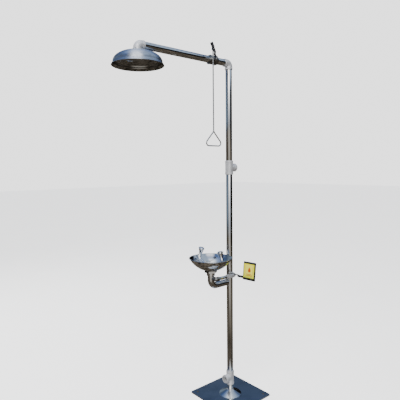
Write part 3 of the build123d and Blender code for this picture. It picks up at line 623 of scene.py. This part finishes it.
def make_drain(context):
    """The drain bend, carried along its real route, and the weld beads."""
    detail = context.scene.detail_settings
    weld = detail.weld_size
    low, high = corners("drain_bend")
    radius = (high.x - low.x) / 2
    leg_y = low.y + radius
    run_z = low.z + radius
    column_r = width("lower_pipe") / 2
    route = [Vector((0, leg_y, high.z)), Vector((0, leg_y, run_z)), Vector((0, -column_r + 0.002, run_z))]
    path = softened(route, detail.drain_bend_radius, closed=False, steps=40)
    outside = sections(path, circle(radius, detail.round_steps))
    inside = sections(path, circle(radius - detail.pipe_wall, detail.round_steps))
    bm = bmesh.new()
    add_rings(bm, outside + inside[::-1], closed=True)
    piece("drain_bend_tube", bm, MATERIALS["drain"], STAND, ("drain_bend",))

    supply, supply_size = middle("supply_outlet")
    supply_r = supply_size.z / 2
    cone, cone_size = middle("foot_cone")
    cone_top = cone.z + cone_size.z / 2
    weld_bead("drain_weld", Vector((0, -column_r - 0.0008, run_z)), Y_AXIS, radius - 0.0006, weld)
    weld_bead("supply_weld", Vector((column_r, 0, supply.z)), X_AXIS, supply_r, weld * 0.7)
    weld_bead("riser_weld", Vector((radius + 0.0002, leg_y, supply.z)), X_AXIS, supply_r, weld * 0.7)
    weld_bead("foot_weld", Vector((0, 0, cone_top)), Z_AXIS, column_r + 0.0006, weld * 0.55)


def make_castings(context):
    """The blasted castings, and the shower valve's and the bowl supply elbow, which take a darker copy of the
    steel for painted shade.
    """
    for node in ("drain_tee", "inlet_tee", "top_elbow", "head_elbow", "supply_elbow_column",
                 "eyewash_valve_body", "eyewash_valve_end"):
        carry(node, MATERIALS["cast"], 0.0005)
    # painted shade: these take the darkened copy of the steel
    for node in ("supply_elbow_bowl", "shower_valve_body", "shower_valve_end"):
        carry(node, MATERIALS["steel_painted_dark"], 0.0005)


def make_valves(context):
    """The small turned parts of both valves."""
    for node in ("shower_valve_seats", "eyewash_valve_seats"):
        carry(node, MATERIALS["seat"])
    for node in ("shower_valve_gland", "eyewash_valve_gland", "shower_valve_stem", "eyewash_valve_stem",
                 "shower_lever_nut", "eyewash_lever_nut"):
        carry(node, MATERIALS["bar"], 0.0002)
    for node in ("shower_valve_ball", "eyewash_valve_ball"):
        carry(node, MATERIALS["chrome"])


def make_head(context):
    """The spun shower head with its rolled lip, and what holds and spreads the water in it."""
    detail = context.scene.detail_settings
    low, high = corners("shower_dome")
    centre = Vector(((low.x + high.x) / 2, (low.y + high.y) / 2, 0))
    rim_r = (high.x - low.x) / 2
    flat_r = width("head_elbow") / 2
    shoulder_r = rim_r - 0.009
    shoulder_z = low.z + 0.018
    bead = detail.rim_bead * 0.6
    sheet = detail.sheet
    hole = width("head_nipple") / 2 + SLIP
    arc_steps = 30
    roll_steps = 8

    def shell(inset):
        points = []
        for i in range(arc_steps + 1):
            angle = math.pi / 2 * i / arc_steps
            points.append((flat_r + (shoulder_r - inset - flat_r) * math.sin(angle),
                           shoulder_z + (high.z - inset - shoulder_z) * math.cos(angle)))
        return points

    lip = softened([(shoulder_r, shoulder_z, 0), (shoulder_r + 0.0008, shoulder_z - 0.003, 0),
                    (rim_r - bead, low.z + bead * 2, 0)], 0.004, closed=False)
    outside = [(hole, high.z)] + shell(0) + lip[1:]
    roll = [(rim_r - bead + bead * math.sin(t), low.z + bead + bead * math.cos(t))
            for t in [math.pi * k / roll_steps for k in range(roll_steps + 1)]]
    inside = [(p[0] - sheet, p[1]) for p in reversed(lip)] + shell(sheet)[::-1] + [(hole, high.z - sheet)]
    bm = bmesh.new()
    turned(bm, outside + roll + inside, centre, Z_AXIS, FINE_STEPS, closed=True)
    dome = piece("shower_dome_spun", bm, MATERIALS["dome"], STAND, ("shower_dome",))
    # painted shade: the faces turned inward take the darker inside finish
    dome.data.materials.append(MATERIALS["dome_inside_painted_shade"])
    hub = centre + Z_AXIS * shoulder_z
    for face in dome.data.polygons:
        if (face.center - hub).dot(face.normal) < 0:
            face.material_index = 1
    carry("head_locknut", MATERIALS["chrome"], 0.0005)
    carry("spreader_disc", MATERIALS["bar"])
    carry("spreader_bolts", MATERIALS["chrome"], 0.0002)


def make_bowl(context):
    """The spun bowl with its rolled rim, its waste, and the blank label on its side."""
    detail = context.scene.detail_settings
    low, high = corners("eyewash_bowl")
    centre = Vector(((low.x + high.x) / 2, (low.y + high.y) / 2, 0))
    bead = detail.rim_bead
    rim_r = (high.x - low.x) / 2 - bead
    rim_z = high.z - bead
    sheet = detail.sheet
    floor_r = width("waste_body") / 2 + 0.001
    hole = width("waste_gasket") / 2 - 0.0068
    # the wall is part of a ball that meets the flat floor below and the rim above
    rise = (rim_r ** 2 - floor_r ** 2 + (rim_z - low.z) ** 2) / (2 * (rim_z - low.z))
    ball_r = math.hypot(rise, floor_r)
    ball_z = low.z + rise
    start = math.asin(floor_r / ball_r)
    stop = math.acos((ball_z - rim_z) / ball_r)
    arc_steps = 34
    roll_steps = 14

    def wall(share, offset):
        """The radius and height of the wall at a share of the way from the floor to the rim."""
        angle = start + (stop - start) * share
        return (ball_r + offset) * math.sin(angle), ball_z - (ball_r + offset) * math.cos(angle)

    shares = [i / arc_steps for i in range(arc_steps + 1)]
    outside = [(hole, low.z)] + [wall(share, 0) for share in shares[:-1]]
    # the edge is rolled outward and back under, most of the way round
    roll = [(rim_r + bead * math.sin(t), rim_z - bead * math.cos(t))
            for t in [math.pi * (0.1 + 1.6 * k / roll_steps) for k in range(roll_steps + 1)]]
    inside = [wall(share, -sheet) for share in shares[-2::-1]] + [(hole, low.z + sheet)]
    bm = bmesh.new()
    turned(bm, outside + roll + inside, centre, Z_AXIS, FINE_STEPS, closed=True)
    piece("eyewash_bowl_spun", bm, MATERIALS["sheet"], STAND, ("eyewash_bowl",))

    for node in ("waste_body", "waste_locknut", "bowl_strainer"):
        carry(node, MATERIALS["chrome"], 0.0004)
    carry("waste_gasket", MATERIALS["rubber"])

    # the label lies on the outer wall on the column's side
    label_turn = math.radians(17.0)
    half_turn = 0.11
    label_low, label_top = 0.62, 0.84
    label_back, label_front = 0.00005, 0.0004
    cells = 12
    bm = bmesh.new()
    borders = []
    for offset in (label_front, label_back):
        grid = []
        for i in range(cells + 1):
            r, z = wall(label_low + (label_top - label_low) * i / cells, offset)
            turns = [label_turn + half_turn * (2 * j / cells - 1) for j in range(cells + 1)]
            grid.append([bm.verts.new(centre + Vector((r * math.cos(t), r * math.sin(t), z))) for t in turns])
        for i in range(cells):
            for j in range(cells):
                bm.faces.new((grid[i][j], grid[i][j + 1], grid[i + 1][j + 1], grid[i + 1][j]))
        borders.append(grid[0] + [row[-1] for row in grid[1:]] + grid[-1][-2::-1]
                       + [row[0] for row in grid[-2:0:-1]])
    front, back = borders
    for i in range(len(front)):
        j = (i + 1) % len(front)
        bm.faces.new((front[i], front[j], back[j], back[i]))
    piece("bowl_label", bm, MATERIALS["label"], STAND)


def knuckle(bm, place, low, high):
    """A hinge knuckle along Y with eased ends."""
    radius = 0.0030
    ease = 0.0004
    profile = [(0.0, low), (radius - ease, low), (radius, low + ease),
               (radius, high - ease), (radius - ease, high), (0.0, high)]
    turned(bm, profile, place, Y_AXIS, PIN_STEPS)


def make_nozzles(context):
    """The eyewash nozzles: bells on their tubes, and domed dust caps on hinges."""
    detail = context.scene.detail_settings
    carry("nozzle_manifold", MATERIALS["chrome"], 0.0003)
    carry("nozzle_tubes", MATERIALS["chrome"])
    carry("dust_cap_pins", MATERIALS["bar"])
    steps = detail.round_steps
    # the hinge's place, out from the bell's axis and up along it
    hinge_out = 0.0205
    hinge_up = 0.0234
    # (radius, height) along the nozzle's axis
    bell = [(0.0085, -0.034), (0.0108, -0.0325), (0.0112, -0.024), (0.0108, -0.012), (0.0116, -0.002),
            (0.0140, 0.007), (0.0166, 0.0125), (0.0176, 0.0160), (0.0176, 0.0198), (0.0170, 0.0209),
            (0.0150, 0.0210), (0.0142, 0.0200), (0.0140, 0.0188), (0.0030, 0.0186), (0.0, 0.0186)]
    dome = [(0.0, 0.0215), (0.0170, 0.0215), (0.0178, 0.0222), (0.0180, 0.0240), (0.0172, 0.0268),
            (0.0148, 0.0296), (0.0108, 0.0316), (0.0056, 0.0326), (0.0, 0.0328)]
    passes = 3
    knuckle_length = 0.0040
    cap_knuckle_half = 0.0039
    for side, sign in (("left", -1), ("right", 1)):
        hinge = joint_place("cap_" + side + "_flip")
        up = Vector((-sign * detail.nozzle_lean_run, 0, 1)).normalized()
        out = Vector((sign * up.z, 0, -sign * up.x))
        origin = hinge - out * hinge_out - up * hinge_up

        bm = bmesh.new()
        turned(bm, smooth_profile(bell, passes), origin, up, steps)
        bmesh.ops.holes_fill(bm, edges=bm.edges[:], sides=0)    # closes the foot of the bell
        for y in (0.0044, -0.0084):
            knuckle(bm, hinge + Y_AXIS * y, 0.0, knuckle_length)
            arm = origin + out * 0.0165 + up * 0.0195 + Y_AXIS * (y + knuckle_length / 2)
            block(bm, arm, out, Y_AXIS, up, (0.0080, 0.0038, 0.0046))
        piece("spray_bell_" + side, bm, MATERIALS["chrome"], STAND, ("spray_head_" + side,))

        bm = bmesh.new()
        turned(bm, smooth_profile(dome, passes), origin, up, steps)
        knuckle(bm, hinge, -cap_knuckle_half, cap_knuckle_half)
        block(bm, origin + out * 0.0175 + up * 0.0230, out, Y_AXIS, up, (0.0060, 0.0070, 0.0030))
        piece("dust_cap_domed_" + side, bm, MATERIALS["chrome"], "cap_" + side,
              ("dust_cap_" + side,))


def make_shower_lever(context):
    """The shower valve's coated lever with its pin and grip."""
    carry("shower_lever", MATERIALS["coated"], 0.0005)
    carry("pull_rod_pin", MATERIALS["bar"], 0.0002)
    carry("shower_lever_sleeve", MATERIALS["grip"], 0.0008)


def make_pull_rod(context):
    """The hanging rod and its triangular handle."""
    carry("pull_rod", MATERIALS["rod"])
    low, high = corners("pull_handle")
    rod_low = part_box("pull_rod")[0][2]
    centre = (low + high) / 2
    radius = 0.004
    corner_r = 0.018
    apex_r = 0.006
    apex = Vector((centre.x, centre.y, rod_low - radius))
    floor = low.z + radius
    climb = apex.z - floor
    # the side's corner before rounding is moved out until the rounded corner just meets the box
    spread = (high.y - low.y) / 2 - radius
    corner = spread
    tries = 20
    for _ in range(tries):
        half = math.atan2(climb, corner) / 2
        corner = spread - corner_r + corner_r / math.tan(half)
    route = [apex, Vector((centre.x, centre.y - corner, floor)), Vector((centre.x, centre.y + corner, floor))]
    path = []
    for i, point in enumerate(route):
        path += rounded(route[i - 1], point, route[(i + 1) % 3], corner_r if i else apex_r, steps=18)
    bm = bmesh.new()
    add_rings(bm, sections(path, circle(radius, PIN_STEPS), closed=True, up=X_AXIS), closed=True)
    weld = [(0.0, -0.0062), (0.0030, -0.0056), (0.0052, -0.0030), (0.0058, 0.0), (0.0052, 0.0030),
            (0.0043, 0.0056), (0.0041, 0.0075), (0.0, 0.0076)]
    turned(bm, weld, apex + Vector((0, 0, 0.001)), Z_AXIS, PIN_STEPS)
    piece("pull_handle_bent", bm, MATERIALS["rod"], ROD_HANG, ("pull_handle",))


def make_push_lever(context):
    """The push lever's grip and its printed sign with a generic water-drop mark."""
    finish = context.scene.finish_settings
    carry("push_lever", MATERIALS["bar"], 0.0003)
    carry("push_lever_sleeve", MATERIALS["grip"], 0.0006)
    carry("push_sign_rivets", MATERIALS["bar"], 0.0002)

    # the plate's own directions: turned with the lever and leaning back
    turn = math.radians(7.5)
    lean = math.radians(-7.0)
    joint = joint_place("eyewash_valve_turn")
    pivot = Vector((joint.x, joint.y, middle("push_lever_sleeve")[0].z))
    place = Matrix.Translation(pivot) @ Matrix.Rotation(turn, 4, "Z") @ Matrix.Rotation(lean, 4, "X")
    back = place.inverted()
    points = [back @ v.co for v in NODES["push_sign"].data.vertices]
    (x0, x1), (y0, y1), (z0, z1) = ((min(p[i] for p in points), max(p[i] for p in points)) for i in range(3))
    low_z, high_z = (corner.z for corner in corners("push_sign"))

    def panel(name, outline, front, depth, material, bevel=0.0, nodes=()):
        bm = bmesh.new()
        extruded(bm, outline, depth, place @ Matrix.Translation(Vector((0, front, 0))), bevel)
        piece(name, bm, material, PUSH_ARM, nodes)

    def rectangle(left, right, bottom, top, radius):
        """The plate's outline, drawn in by a margin at each side."""
        sides = [(x0 + left, z0 + bottom, 0), (x1 - right, z0 + bottom, 0),
                 (x1 - right, z1 - top, 0), (x0 + left, z1 - top, 0)]
        return [(p[0], p[1]) for p in softened(sides, radius, steps=6)]

    def ink(name, low_colour, high_colour):
        return print_ink(name, low_colour, high_colour, low_z, high_z)

    mark_colour = tuple(finish.sign_mark_colour)
    # each ink is darker towards the bottom of the sign
    black = ink("sign_black", (0.012, 0.012, 0.010), (0.016, 0.015, 0.014))
    field = ink("sign_field", (0.44, 0.54, 0.03), tuple(finish.sign_colour))
    pale = ink("sign_pale", (0.66, 0.66, 0.04), (0.84, 0.76, 0.09))
    mark = ink("sign_mark", shaded(mark_colour, 0.7), mark_colour)
    film = 0.00025
    panel("push_sign_plate", rectangle(0, 0, 0, 0, 0.004), y0, y1 - y0, black, 0.0004, ("push_sign",))
    panel("push_sign_field", rectangle(0.0035, 0.011, 0.015, 0.013, 0.003), y0 - film, film, field)
    panel("push_sign_panel", rectangle(0.018, 0.024, 0.032, 0.020, 0.003), y0 - 2 * film, film, pale)

    # the generic mark: one drop over two waves
    centre_x = (x0 + x1) / 2
    drop_r = 0.012
    drop_z = z0 + 0.068
    drop = []
    for t in full_turn(40):
        pinch = math.sin(t / 2) ** 1.5
        drop.append((centre_x + drop_r * 1.25 * math.sin(t) * pinch, drop_z + drop_r * 1.4 * math.cos(t)))
    panel("push_sign_drop", drop, y0 - 3 * film, film, mark)
    wave_length = 0.044
    wave_height = 0.0016
    wave_width = 0.0032
    wave_steps = 30
    for index, wave_z in enumerate((z0 + 0.040, z0 + 0.0325)):
        upper = [(centre_x + wave_length * (i / wave_steps - 0.5),
                  wave_z + wave_height * math.sin(4 * math.pi * i / wave_steps))
                 for i in range(wave_steps + 1)]
        lower = [(x, z - wave_width) for x, z in reversed(upper)]
        panel("push_sign_wave_%d" % (index + 1), upper + lower, y0 - 3 * film, film, mark)


# ------------------------------------------------------------------ stage
def make_world(context):
    """Open-air surroundings for the metal to reflect, with a plain pale background."""
    stage = context.scene.stage_settings
    world = bpy.data.worlds.new("surroundings")
    context.scene.world = world
    world.use_nodes = True
    world.node_tree.nodes.clear()
    bench = Bench(world.node_tree, "Generated")
    direction = bench.place
    rise = bench.node("ShaderNodeSeparateXYZ", Vector=direction).outputs["Z"]

    def vector(kind, a, b, output="Vector"):
        return bench.maths(kind, a, b, sort="ShaderNodeVectorMath", output=output)

    def times(a, b):
        return bench.maths("MULTIPLY", a, b)

    def mask(value, low, high):
        made = bench.node("ShaderNodeMapRange", Value=value, From_Min=low, From_Max=high)
        made.interpolation_type = "SMOOTHSTEP"
        return made.outputs["Result"]

    def mix(fac, a, b):
        made = bench.tree.nodes.new("ShaderNodeMix")
        made.data_type = "RGBA"
        colours = [value if isinstance(value, bpy.types.NodeSocket) else (*value, 1) for value in (a, b)]
        for index, value in zip((0, 6, 7), (fac, *colours)):    # the factor and the two colour inputs
            bench.feed(made.inputs[index], value)
        return made.outputs[2]

    def heading(degrees):
        """A level direction: 0 points back at the camera, positive turns to its right."""
        turn = stage.camera_turn - math.pi / 2 + math.radians(degrees)
        return (math.cos(turn), math.sin(turn), 0.0)

    level = vector("NORMALIZE", vector("MULTIPLY", direction, (1.0, 1.0, 0.0)), (0.0, 0.0, 0.0))

    def sector(centre, full, edge):
        """A mask round a heading: whole to within full degrees, nothing beyond edge degrees."""
        near = vector("DOT_PRODUCT", level, heading(centre), "Value")
        return mask(near, math.cos(math.radians(edge)), math.cos(math.radians(full)))

    rough = bench.noise(9.0, 6.0)
    drift = bench.noise(3.2, 4.0)
    ragged = bench.maths("MULTIPLY_ADD", rough, 0.22, rise)

    sky = bench.ramp(rise, [
        (0.00, (0.09, 0.11, 0.14)), (0.22, (0.048, 0.060, 0.090)), (0.45, (0.085, 0.120, 0.200)),
        (0.65, (0.07, 0.13, 0.31)), (0.80, (0.12, 0.22, 0.50)), (0.92, (0.50, 0.66, 1.00)),
        (1.00, (1.90, 2.00, 2.15))])
    clouds = times(mask(drift, 0.50, 0.72), 0.55)
    left_haze = times(sector(-115.0, 50.0, 74.0), mask(rise, 0.50, 0.25))
    side_light = times(sector(78.0, 20.0, 62.0), mask(rise, 0.30, 0.45))
    bright = times(times(sector(0.0, 10.0, 40.0), mask(rise, 1.00, 0.55)), mask(rise, -0.15, 0.25))
    low_bright = times(times(sector(4.0, 8.0, 34.0), mask(rise, 0.95, 0.45)), mask(rise, 0.15, 0.50))
    wall = times(sector(110.0, 64.0, 71.0), mask(ragged, 0.56, 0.46))
    hedge = times(sector(-140.0, 60.0, 76.0), mask(ragged, 0.16, 0.09))
    for where, colour in (
            (clouds, (0.34, 0.40, 0.50)), (left_haze, (0.20, 0.27, 0.36)), (side_light, (0.50, 0.63, 0.82)),
            (bright, (1.15, 1.20, 1.30)), (low_bright, (4.2, 4.2, 4.1)), (wall, (0.004, 0.004, 0.005)),
            (hedge, (0.030, 0.036, 0.036))):
        sky = mix(where, sky, colour)

    earth = bench.ramp(rough, [(0.38, (0.020, 0.017, 0.013)), (0.50, (0.095, 0.080, 0.063)),
                               (0.62, (0.23, 0.195, 0.155))])
    sunlit = times(sector(2.0, 10.0, 44.0), mask(rise, -0.62, -0.25))
    earth = mix(sunlit, earth, (0.62, 0.58, 0.52))
    dark_edge = times(mask(rise, -0.24, -0.08), sector(100.0, 40.0, 66.0))
    earth = mix(dark_edge, earth, (0.006, 0.006, 0.006))
    around = mix(mask(rise, -0.015, 0.015), earth, sky)

    # soft even light on matt faces, the surroundings in polished ones, and a pale background behind
    path = bench.tree.nodes.new("ShaderNodeLightPath")
    lit = mix(path.outputs["Is Diffuse Ray"], around, (0.62, 0.63, 0.65))
    seen = mix(path.outputs["Is Camera Ray"], lit, (2.3, 2.3, 2.3))
    back = bench.node("ShaderNodeBackground", Color=seen)
    bench.node("ShaderNodeOutputWorld", Surface=back.outputs[0])


def make_floor(context):
    """A pale floor that glows a little, so that it is as bright as the background."""
    drop = 0.0002       # keeps it clear of the plate's underside
    glow = 1.40
    cells = 8
    half = context.scene.stage_settings.floor_size / 2
    bm = bmesh.new()
    bmesh.ops.create_grid(bm, x_segments=cells, y_segments=cells, size=half)
    mesh = bpy.data.meshes.new("floor")
    bm.to_mesh(mesh)
    bm.free()
    f = Finish("pale_floor")
    pale = f.ramp(f.noise(1.5, 3.0), [(0.3, (0.93, 0.93, 0.93)), (0.7, (0.96, 0.96, 0.96))])
    f.set(Base_Color=pale, Roughness=0.8, Emission_Color=pale, Emission_Strength=glow)
    mesh.materials.append(f.material)
    floor = bpy.data.objects.new("floor", mesh)
    floor.location.z = -drop
    context.scene.collection.objects.link(floor)
    floor.visible_glossy = False
    floor.visible_diffuse = False


def make_light(name, place, side, power):
    """A square soft light aimed at the middle of the column; it is not itself seen in the metal."""
    target = Vector((0, -0.2, 1.1))
    data = bpy.data.lights.new(name, "AREA")
    data.shape = "SQUARE"
    data.size = side
    data.energy = power
    light = bpy.data.objects.new(name, data)
    light.location = place
    light.rotation_euler = (target - Vector(place)).to_track_quat("-Z", "Y").to_euler()
    light.visible_glossy = False
    bpy.context.scene.collection.objects.link(light)


def make_stage(context):
    """The surroundings, floor, lights and camera."""
    stage = context.scene.stage_settings
    make_world(context)
    make_floor(context)
    make_light("main_soft", (1.6, -3.4, 4.6), 2.4, stage.light_power)
    make_light("fill_soft", (-3.4, -1.4, 3.4), 2.6, stage.light_power * 0.5)
    data = bpy.data.cameras.new("main_camera")
    data.lens = stage.lens
    data.sensor_width = 36.0
    camera = bpy.data.objects.new("main_camera", data)
    camera.matrix_world = (Matrix.Translation(Vector(stage.camera_place))
                           @ Matrix.Rotation(stage.camera_turn, 4, "Z")
                           @ Matrix.Rotation(math.pi / 2 + stage.camera_tilt, 4, "X")
                           @ Matrix.Rotation(stage.camera_roll, 4, "Z"))
    context.scene.collection.objects.link(camera)
    context.scene.camera = camera


# ------------------------------------------------------------------ operators
class SHOWER_OT_materials(bpy.types.Operator):
    """Make the metal, plastic and rubber finishes"""

    bl_idname = "shower.materials"
    bl_label = "Materials"

    def execute(self, context):
        make_materials(context)
        return {"FINISHED"}


class SHOWER_OT_base(bpy.types.Operator):
    """Finish the base plate and its spun cone"""

    bl_idname = "shower.base"
    bl_label = "Base"

    def execute(self, context):
        make_base(context)
        return {"FINISHED"}


class SHOWER_OT_pipes(bpy.types.Operator):
    """Make the straight pipes"""

    bl_idname = "shower.pipes"
    bl_label = "Pipes"

    def execute(self, context):
        make_pipes(context)
        return {"FINISHED"}


class SHOWER_OT_drain(bpy.types.Operator):
    """Make the drain bend and the welds"""

    bl_idname = "shower.drain"
    bl_label = "Drain"

    def execute(self, context):
        make_drain(context)
        return {"FINISHED"}


class SHOWER_OT_castings(bpy.types.Operator):
    """Finish the tees, elbows and valve bodies"""

    bl_idname = "shower.castings"
    bl_label = "Castings"

    def execute(self, context):
        make_castings(context)
        return {"FINISHED"}


class SHOWER_OT_valves(bpy.types.Operator):
    """Finish the balls, seats, stems and nuts"""

    bl_idname = "shower.valves"
    bl_label = "Valves"

    def execute(self, context):
        make_valves(context)
        return {"FINISHED"}


class SHOWER_OT_head(bpy.types.Operator):
    """Make the spun shower head"""

    bl_idname = "shower.head"
    bl_label = "Shower Head"

    def execute(self, context):
        make_head(context)
        return {"FINISHED"}


class SHOWER_OT_bowl(bpy.types.Operator):
    """Make the spun bowl, its waste and its label"""

    bl_idname = "shower.bowl"
    bl_label = "Eyewash Bowl"

    def execute(self, context):
        make_bowl(context)
        return {"FINISHED"}


class SHOWER_OT_nozzles(bpy.types.Operator):
    """Finish the eyewash nozzles and their caps"""

    bl_idname = "shower.nozzles"
    bl_label = "Nozzles"

    def execute(self, context):
        make_nozzles(context)
        return {"FINISHED"}


class SHOWER_OT_lever(bpy.types.Operator):
    """Finish the shower valve's lever"""

    bl_idname = "shower.lever"
    bl_label = "Shower Lever"

    def execute(self, context):
        make_shower_lever(context)
        return {"FINISHED"}


class SHOWER_OT_pull(bpy.types.Operator):
    """Make the pull rod and its handle"""

    bl_idname = "shower.pull"
    bl_label = "Pull Rod"

    def execute(self, context):
        make_pull_rod(context)
        return {"FINISHED"}


class SHOWER_OT_push(bpy.types.Operator):
    """Make the push lever and its sign"""

    bl_idname = "shower.push"
    bl_label = "Push Sign"

    def execute(self, context):
        make_push_lever(context)
        return {"FINISHED"}


class SHOWER_OT_stage(bpy.types.Operator):
    """Set the floor, lights and camera"""

    bl_idname = "shower.stage"
    bl_label = "Stage"

    def execute(self, context):
        make_stage(context)
        return {"FINISHED"}


STEPS = (
    SHOWER_OT_materials, SHOWER_OT_base, SHOWER_OT_pipes, SHOWER_OT_drain, SHOWER_OT_castings,
    SHOWER_OT_valves, SHOWER_OT_head, SHOWER_OT_bowl, SHOWER_OT_nozzles, SHOWER_OT_lever, SHOWER_OT_pull,
    SHOWER_OT_push, SHOWER_OT_stage,
)


class SHOWER_PT_panel(bpy.types.Panel):
    """Lists the finishing steps."""

    bl_label = "Emergency Shower"
    bl_idname = "SHOWER_PT_panel"
    bl_space_type = "VIEW_3D"
    bl_region_type = "UI"
    bl_category = "Shower"

    def draw(self, context):
        for step in STEPS:
            self.layout.operator(step.bl_idname)


SETTINGS = {
    "finish_settings": FinishSettings,
    "detail_settings": DetailSettings,
    "stage_settings": StageSettings,
}


def register():
    for name, group in SETTINGS.items():
        bpy.utils.register_class(group)
        setattr(bpy.types.Scene, name, PointerProperty(type=group))
    for step in STEPS:
        bpy.utils.register_class(step)
    bpy.utils.register_class(SHOWER_PT_panel)


def unregister():
    bpy.utils.unregister_class(SHOWER_PT_panel)
    for step in reversed(STEPS):
        bpy.utils.unregister_class(step)
    for name, group in SETTINGS.items():
        delattr(bpy.types.Scene, name)
        bpy.utils.unregister_class(group)


def main():
    register()
    for step in STEPS:
        family, action = step.bl_idname.split(".")
        getattr(getattr(bpy.ops, family), action)()
    left = sorted(set(NODES) - FINISHED)
    if left:
        raise RuntimeError("no finish given to " + ", ".join(left))


if __name__ == "__main__":
    main()
